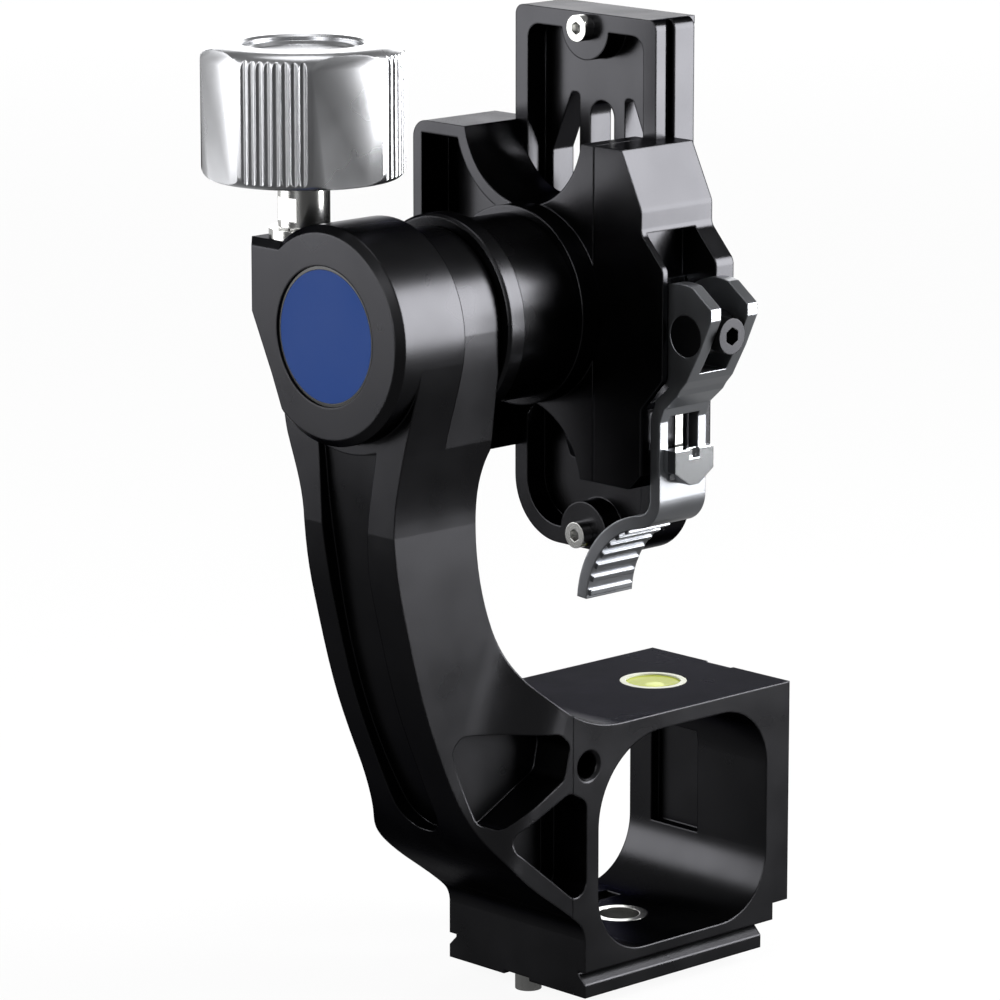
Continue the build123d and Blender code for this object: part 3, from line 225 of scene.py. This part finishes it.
class GIMBAL_OT_lock_knob(bpy.types.Operator):
    """Turn the lock knob, mill its flats and cut its flutes"""

    bl_idname = "gimbal.lock_knob"
    bl_label = "Lock knob"

    def execute(self, context):
        settings = context.scene.gimbal_head
        low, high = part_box("lock_knob")
        low_spindle, high_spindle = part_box("knob_spindle")
        centre = Vector(((low_spindle.x + high_spindle.x) / 2, (low_spindle.y + high_spindle.y) / 2, 0))
        height = high.z - low.z
        radius = settings.knob_radius
        nothing_selected()
        bpy.ops.mesh.primitive_cylinder_add(
            vertices=256, radius=radius, depth=height, location=(centre.x, centre.y, (low.z + high.z) / 2)
        )
        knob = context.object
        # rounded shoulders above and below, the upper one larger
        bpy.ops.object.mode_set(mode="EDIT")
        bpy.ops.mesh.select_mode(type="EDGE")
        for level, share, steps in ((height / 2, UPPER_SHOULDER, 8), (-height / 2, LOWER_SHOULDER, 6)):
            bpy.ops.mesh.select_all(action="DESELECT")
            bpy.ops.object.mode_set(mode="OBJECT")
            for edge in knob.data.edges:
                ends = [knob.data.vertices[i].co for i in edge.vertices]
                edge.select = all(abs(end.z - level) < 1e-6 for end in ends)
            bpy.ops.object.mode_set(mode="EDIT")
            bpy.ops.mesh.bevel(offset=share * radius, segments=steps, profile=0.5, affect="EDGES")
        # dish in the top: rim, wall, floor
        bpy.ops.mesh.select_mode(type="FACE")
        bpy.ops.mesh.select_all(action="DESELECT")
        bpy.ops.object.mode_set(mode="OBJECT")
        for face in knob.data.polygons:
            face.select = face.normal.z > 0.99 and face.area > 0.2 * math.pi * radius**2
        bpy.ops.object.mode_set(mode="EDIT")
        flat_top = radius * (1 - UPPER_SHOULDER)
        bpy.ops.mesh.inset(thickness=flat_top - DISH_RADIUS)
        bpy.ops.mesh.inset(thickness=DISH_BEVEL, depth=-DISH_BEVEL)
        bpy.ops.mesh.extrude_region_move(TRANSFORM_OT_translate={"value": (0, 0, -DISH_DEPTH)})
        bpy.ops.object.mode_set(mode="OBJECT")
        # four flats, each milled across the side and blended into it
        for quarter in range(4):
            angle = math.radians(FIRST_FLAT_DEGREES + 90 * quarter)
            way = Vector((math.cos(angle), math.sin(angle), 0))
            bpy.ops.object.mode_set(mode="EDIT")
            bpy.ops.mesh.select_all(action="SELECT")
            bpy.ops.mesh.bisect(
                plane_co=centre + way * (radius - FLAT_DEPTH), plane_no=way, use_fill=True, clear_outer=True
            )
            bpy.ops.object.mode_set(mode="OBJECT")
        # flutes: one round cutter, copied round the four bands and taken away
        nothing_selected()
        cutters = []
        middle = (low.z + high.z) / 2
        out = radius + settings.flute_radius * FLUTE_STAND_OFF
        for quarter in range(4):
            for flute in range(settings.flutes_per_band):
                along_band = flute - (settings.flutes_per_band - 1) / 2
                turn = FIRST_FLAT_DEGREES + 45 + 90 * quarter + FLUTE_STEP_DEGREES * along_band
                angle = math.radians(turn)
                spot = centre + out * Vector((math.cos(angle), math.sin(angle), 0))
                bpy.ops.mesh.primitive_cylinder_add(
                    vertices=16, radius=settings.flute_radius, depth=height * 1.2,
                    location=(spot.x, spot.y, middle),
                )
                cutters.append(context.object)
        for cutter in cutters:
            cutter.select_set(True)
        bpy.ops.object.join()
        cutter = context.object
        cut = knob.modifiers.new("flutes", "BOOLEAN")
        cut.operation = "DIFFERENCE"
        cut.solver = "EXACT"
        cut.object = cutter
        nothing_selected()
        knob.select_set(True)
        context.view_layer.objects.active = knob
        bpy.ops.object.modifier_apply(modifier=cut.name)
        bpy.data.objects.remove(cutter)
        bpy.ops.object.shade_smooth_by_angle(angle=math.radians(28))
        settle(knob, "knob_turned", "knob", "silver_anodised", "lock_knob")
        # clear anodised aluminium, turned and then milled: satin, with fine lines round the axis that
        # are drawn four times as coarse as real so that they show
        material = machined_surface(
            "clear_anodised_aluminium_turned", settings.knob_finish, 0.28, 0.35, 0.004, 0.25 * MM,
            stretch=(0.15, 0.15, 1),
        )
        dress(material, knob.name, "knob_cap")
        return {"FINISHED"}


# ------------------------------------------------------------------ arm and base
class GIMBAL_OT_arm(bpy.types.Operator):
    """Finish the arm, its base and the small pieces let into them"""

    bl_idname = "gimbal.arm"
    bl_label = "Arm and base"

    def execute(self, context):
        settings = context.scene.gimbal_head
        # black hard anodised aluminium, milled and then bead blasted: a fine even grain of 0.2 mm that
        # breaks the reflections up softly
        blasted = machined_surface(
            "black_anodised_aluminium_blasted", settings.black_finish, 0.3, 0.22, 0.006, settings.edge_round,
            **DYED,
        )
        dress(blasted, "arm_frame", "base_block")
        # the same anodising on turned pieces: finer and glossier, in rings round the tilt axis
        turned = machined_surface(
            "black_anodised_aluminium_turned", settings.black_finish, 0.26, 0.5, 0.004, settings.edge_round,
            stretch=(1, 0.1, 0.1), **DYED,
        )
        dress(turned, "hub_disc", "rotor_hub")
        # enamel sprayed on an aluminium disc: one even, deep colour with hardly any gloss
        enamel = machined_surface(
            "blue_enamel_sprayed", settings.disc_colour, 0.5, 0.5, 0.002, 0.2 * MM, metallic=0.0,
            **{"Specular IOR Level": 0.12},
        )
        dress(enamel, "badge_disc")
        ring = machined_surface(
            "black_enamel_gloss", linear("0a0a0a"), 0.2, 0.5, 0.001, 0.1 * MM, metallic=0.0
        )
        dress(ring, "badge_ring")
        return {"FINISHED"}


# drop of air in the level, and the ring printed round it
BUBBLE_RADIUS = 1.9 * MM
BUBBLE_FLATNESS = 0.18
MARK_RADIUS = 2.6 * MM
MARK_LINE = 0.14 * MM


class GIMBAL_OT_level(bpy.types.Operator):
    """Fill the bull's-eye level: cup, liquid, bubble, printed ring and cover"""

    bl_idname = "gimbal.level"
    bl_label = "Level"

    def execute(self, context):
        settings = context.scene.gimbal_head
        low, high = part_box("level_vial")
        middle = (low + high) / 2
        # moulded white acetal, slightly glossy
        cup = machined_surface(
            "white_acetal_moulded", linear("b4b6a4"), 0.45, 0.8, 0.001, 0.15 * MM, metallic=0.0
        )
        dress(cup, "level_cup")
        # dyed spirit in a vial: light that passes through comes back yellow-green, so it hardly mirrors
        liquid = machined_surface(
            "dyed_spirit_clear", settings.level_liquid, 0.05, 3.0, 0.001, 0.05 * MM, metallic=0.0,
            **{"Specular IOR Level": 0.1},
        )
        dress(liquid, "level_vial")
        # the liquid fills the level up to its cover, so the cover shows the dye at half its strength
        cover = machined_surface(
            "clear_acrylic_moulded", settings.level_liquid, 0.2, 3.0, 0.0005, 0.1 * MM, metallic=0.0,
            **{"Specular IOR Level": 0.08, "Alpha": 0.55},
        )
        dress(cover, "level_lens")
        # bubble, a flattened drop of air under the cover, a little off the middle
        nothing_selected()
        bpy.ops.mesh.primitive_uv_sphere_add(
            segments=32, ring_count=16, radius=BUBBLE_RADIUS, location=(0, 0, 0)
        )
        bubble = context.object
        bpy.ops.object.mode_set(mode="EDIT")
        bpy.ops.mesh.select_all(action="SELECT")
        bpy.ops.transform.resize(value=(1, 1, BUBBLE_FLATNESS))
        bpy.ops.object.mode_set(mode="OBJECT")
        bubble.location = (middle.x + 0.25 * MM, middle.y - 0.2 * MM, high.z + 0.12 * MM)
        bpy.ops.object.shade_smooth()
        settle(bubble, "level_bubble", "arm", "vial_liquid")
        air = machined_surface(
            "air_bubble_rim", linear("f2f6b8"), 0.08, 3.0, 0.0005, 0.05 * MM, metallic=0.0, **{"IOR": 1.36}
        )
        dress(air, bubble.name)
        # ring printed under the cover
        nothing_selected()
        bpy.ops.mesh.primitive_torus_add(
            major_radius=MARK_RADIUS, minor_radius=MARK_LINE, major_segments=64, minor_segments=8,
            location=(middle.x, middle.y, high.z + 0.16 * MM),
        )
        mark = context.object
        bpy.ops.object.shade_smooth()
        settle(mark, "level_mark", "arm", "black_paint")
        ink = machined_surface(
            "black_ink_printed", linear("1a1a12"), 0.5, 0.5, 0.001, 0.05 * MM, metallic=0.0
        )
        dress(ink, mark.name)
        return {"FINISHED"}


# ------------------------------------------------------------------ clamp, lever, plate
class GIMBAL_OT_clamp(bpy.types.Operator):
    """Finish the clamp, its jaw and the lens plate"""

    bl_idname = "gimbal.clamp"
    bl_label = "Clamp and plate"

    def execute(self, context):
        settings = context.scene.gimbal_head
        # black hard anodised aluminium, milled: a little glossier than the blasted arm
        milled = machined_surface(
            "black_anodised_aluminium_milled", settings.black_finish, 0.24, 0.3, 0.004, settings.edge_round,
            **DYED,
        )
        dress(milled, "clamp_body", "movable_jaw", "lens_plate")
        return {"FINISHED"}


class GIMBAL_OT_lever(bpy.types.Operator):
    """Finish the clamp's lever and its slide lock"""

    bl_idname = "gimbal.lever"
    bl_label = "Lever"

    def execute(self, context):
        settings = context.scene.gimbal_head
        # grey anodised aluminium, polished before the bath: soft reflections with a faint grain, so that
        # its faces read grey beside the chrome
        polished = machined_surface(
            "grey_anodised_aluminium_polished", settings.lever_finish, 0.34, 0.4, 0.003, 0.35 * MM,
        )
        dress(polished, "clamp_lever")
        # zinc die-casting with bright chrome: near mirror, slightly wavy as thin castings are
        chrome = machined_surface("bright_chrome_on_casting", linear("c4c6c9"), 0.1, 2.0, 0.004, 0.25 * MM)
        dress(chrome, "lock_button")
        return {"FINISHED"}


# ------------------------------------------------------------------ screws and inner pieces
class GIMBAL_OT_hardware(bpy.types.Operator):
    """Finish the screws, pins, springs, bearings and the axle"""

    bl_idname = "gimbal.hardware"
    bl_label = "Hardware"

    def execute(self, context):
        # stainless steel, turned: bright, with fine lines round each screw
        stainless = machined_surface("stainless_steel_turned", linear("c8c8c6"), 0.2, 0.3, 0.003, 0.2 * MM)
        dress(
            stainless, "knob_spindle", "spindle_bush", "stop_screws", "camera_screws", "tripod_bush",
            "safety_screws",
        )
        # steel blackened in hot salts: deep black with a dull metal sheen
        blackened = machined_surface("steel_black_oxide", linear("2a2a2c"), 0.34, 0.25, 0.003, 0.2 * MM)
        dress(blackened, "tie_bolt", "lever_pin", "hub_screws", "flange_screws", "preload_nut")
        # ground bearing steel: smooth and bright
        ground = machined_surface("bearing_steel_ground", linear("b9babb"), 0.18, 0.4, 0.001, 0.1 * MM)
        dress(
            ground, "axle", "bearing_outer_races", "bearing_balls", "bearing_inner_races", "guide_pins",
            "cam_plate", "knob_screw",
        )
        spring = machined_surface("spring_steel_drawn", linear("9c9c9a"), 0.25, 0.2, 0.002, 0.1 * MM)
        dress(spring, "jaw_springs", "button_spring")
        bronze = machined_surface("bearing_bronze_turned", linear("8a6a3a"), 0.35, 0.3, 0.003, 0.15 * MM)
        dress(bronze, "lock_plug", "brake_drum")
        spacer = machined_surface("aluminium_turned", linear("a9aaab"), 0.35, 0.3, 0.003, 0.15 * MM)
        dress(spacer, "outer_spacer", "inner_spacer")
        acetal = machined_surface(
            "black_acetal_moulded", linear("101010"), 0.45, 0.6, 0.002, 0.1 * MM, metallic=0.0
        )
        dress(acetal, "friction_washer")
        return {"FINISHED"}


# ------------------------------------------------------------------ stage
# the photograph's camera: its place, its heading seen from above, its tilt down and its long lens
PHOTO_PLACE = Vector((-0.7249, -0.7243, 0.3148))
PHOTO_HEADING = Vector((0.691, 0.723, 0))
PHOTO_TILT_DEGREES = 12.33
PHOTO_LENS = 193.97
# share of white that the room gives to reflections and to what it lights
ROOM_GLOW = 0.2
# painted light: the floor's painted glow in reflections, from its dim near end to its bright far end, and
# where they lie
PAINTED_GLOW_NEAR, PAINTED_GLOW_FAR = 0.05, 0.6
PAINTED_GLOW_NEAR_AT, PAINTED_GLOW_FAR_AT = -0.05, 0.25
# share of the floor that glows: plain white to the eye, and the painted glow in reflections
FLOOR_WHITE_AND_PAINTED_GLOW_SHARE = 0.92
# name, place, aim, width, height and power in watts: a tall box close at the right, wide panels behind
# at the left, at the left and behind, and a box above
LAMPS = (
    ("box_right", (0.37, -0.42, 0.27), (-0.02, 0, 0.15), 0.34, 0.52, 9.0),
    ("panel_left", (-0.52, 0.5, 0.26), (-0.05, 0, 0.13), 0.6, 0.5, 4.2),
    ("panel_front_left", (-0.8, -0.2, 0.4), (-0.06, 0, 0.16), 0.3, 0.6, 3.0),
    ("panel_back", (1.1, 1.15, 0.55), (0, 0, 0.12), 1.6, 0.9, 12.0),
    ("box_top", (0.0, 0.1, 1.0), (0, 0, 0.1), 0.5, 0.5, 2.0),
)


class GIMBAL_OT_stage(bpy.types.Operator):
    """Set the camera, the pale floor, the backdrop colour and the soft lamps"""

    bl_idname = "gimbal.stage"
    bl_label = "Stage"

    def execute(self, context):
        settings = context.scene.gimbal_head
        scene = context.scene
        scene.view_settings.view_transform = "Standard"
        tilt = math.radians(PHOTO_TILT_DEGREES)
        ahead = PHOTO_HEADING.normalized() * math.cos(tilt) + Vector((0, 0, -math.sin(tilt)))
        side = ahead.cross(Vector((0, 0, 1))).normalized()
        up = side.cross(ahead)
        data = bpy.data.cameras.new("camera")
        data.sensor_width = 36
        data.lens = PHOTO_LENS
        data.clip_start = 0.01
        data.clip_end = 50
        camera = bpy.data.objects.new("camera", data)
        camera.matrix_world = Matrix(
            (
                (side.x, up.x, -ahead.x, PHOTO_PLACE.x),
                (side.y, up.y, -ahead.y, PHOTO_PLACE.y),
                (side.z, up.z, -ahead.z, PHOTO_PLACE.z),
                (0, 0, 0, 1),
            )
        )
        scene.collection.objects.link(camera)
        scene.camera = camera

        # world: white to the eye and through glass, a dim room in reflections and on what it lights
        world = bpy.data.worlds.new("studio")
        scene.world = world
        world.use_nodes = True
        tree = world.node_tree
        tree.nodes.clear()
        ray = place(tree, "ShaderNodeLightPath")
        seen = place(
            tree, "ShaderNodeMath", {0: ray.outputs["Is Camera Ray"], 1: ray.outputs["Is Transmission Ray"]},
            operation="MAXIMUM",
        )
        strength = place(tree, "ShaderNodeMapRange", {"Value": seen.outputs[0], 3: ROOM_GLOW, 4: 1.0})
        sky = place(tree, "ShaderNodeBackground", {"Color": (1, 1, 1, 1), "Strength": strength.outputs[0]})
        place(tree, "ShaderNodeOutputWorld", {"Surface": sky.outputs[0]})

        # floor just under the stop screws
        nothing_selected()
        bpy.ops.mesh.primitive_plane_add(size=12, location=(0, 0, cad_box[0][2] - 0.0001))
        floor = context.object
        floor.name = "floor"
        card = bpy.data.materials.new("pale_card_painted_glow")
        card.use_nodes = True
        tree = card.node_tree
        tree.nodes.clear()
        ray = place(tree, "ShaderNodeLightPath")
        where = place(tree, "ShaderNodeTexCoord")
        # painted light: in reflections the card shows a painted glow that dims towards the photographer, as
        # though it were lit from behind
        far = place(
            tree, "ShaderNodeVectorMath", {0: where.outputs["Object"], 1: PHOTO_HEADING},
            operation="DOT_PRODUCT",
        )
        painted_glow_fade = place(
            tree, "ShaderNodeMapRange",
            {
                "Value": far.outputs["Value"], 1: PAINTED_GLOW_NEAR_AT, 2: PAINTED_GLOW_FAR_AT,
                3: PAINTED_GLOW_NEAR, 4: PAINTED_GLOW_FAR,
            },
        )
        strength = place(
            tree, "ShaderNodeMath", {0: ray.outputs["Is Camera Ray"], 1: painted_glow_fade.outputs[0]}, operation="MAXIMUM"
        )
        # plain white to the eye; in reflections this is the painted glow
        glow = place(tree, "ShaderNodeEmission", {"Color": (1, 1, 1, 1), "Strength": strength.outputs[0]})
        paper = place(tree, "ShaderNodeBsdfDiffuse", {"Color": (0.8, 0.8, 0.8, 1)})
        share = place(
            tree, "ShaderNodeMath", {0: ray.outputs["Is Camera Ray"], 1: ray.outputs["Is Glossy Ray"]},
            operation="MAXIMUM",
        )
        share = place(
            tree, "ShaderNodeMath", {0: share.outputs[0], 1: FLOOR_WHITE_AND_PAINTED_GLOW_SHARE}, operation="MULTIPLY"
        )
        both = place(
            tree, "ShaderNodeMixShader", {0: share.outputs[0], 1: paper.outputs[0], 2: glow.outputs[0]}
        )
        place(tree, "ShaderNodeOutputMaterial", {"Surface": both.outputs[0]})
        floor.data.materials.append(card)

        for name, spot, aim, width, height, power in LAMPS:
            lamp = bpy.data.lights.new(name, "AREA")
            lamp.shape = "RECTANGLE"
            lamp.size = width
            lamp.size_y = height
            lamp.energy = power * settings.lamp_strength
            stand = bpy.data.objects.new(name, lamp)
            stand.location = spot
            way = Vector(aim) - Vector(spot)
            stand.rotation_euler = way.to_track_quat("-Z", "Y").to_euler()
            stand.visible_camera = False
            scene.collection.objects.link(stand)
        return {"FINISHED"}


class GIMBAL_PT_panel(bpy.types.Panel):
    """The head's settings and the steps that dress it"""

    bl_label = "Gimbal Head"
    bl_idname = "GIMBAL_PT_panel"
    bl_space_type = "VIEW_3D"
    bl_region_type = "UI"
    bl_category = "Gimbal Head"

    def draw(self, context):
        column = self.layout.column()
        for name in GimbalHeadSettings.__annotations__:
            column.prop(context.scene.gimbal_head, name)
        for step in STEPS:
            column.operator(step.bl_idname)


STEPS = (
    GIMBAL_OT_stage,
    GIMBAL_OT_arm,
    GIMBAL_OT_level,
    GIMBAL_OT_lock_knob,
    GIMBAL_OT_clamp,
    GIMBAL_OT_lever,
    GIMBAL_OT_hardware,
)


def register():
    for kind in (GimbalHeadSettings, *STEPS, GIMBAL_PT_panel):
        bpy.utils.register_class(kind)
    bpy.types.Scene.gimbal_head = PointerProperty(type=GimbalHeadSettings)


def unregister():
    del bpy.types.Scene.gimbal_head
    for kind in reversed((GimbalHeadSettings, *STEPS, GIMBAL_PT_panel)):
        bpy.utils.unregister_class(kind)


def main():
    register()
    bpy.ops.gimbal.stage()
    bpy.ops.gimbal.arm()
    bpy.ops.gimbal.level()
    bpy.ops.gimbal.lock_knob()
    bpy.ops.gimbal.clamp()
    bpy.ops.gimbal.lever()
    bpy.ops.gimbal.hardware()


if __name__ == "__main__":
    main()
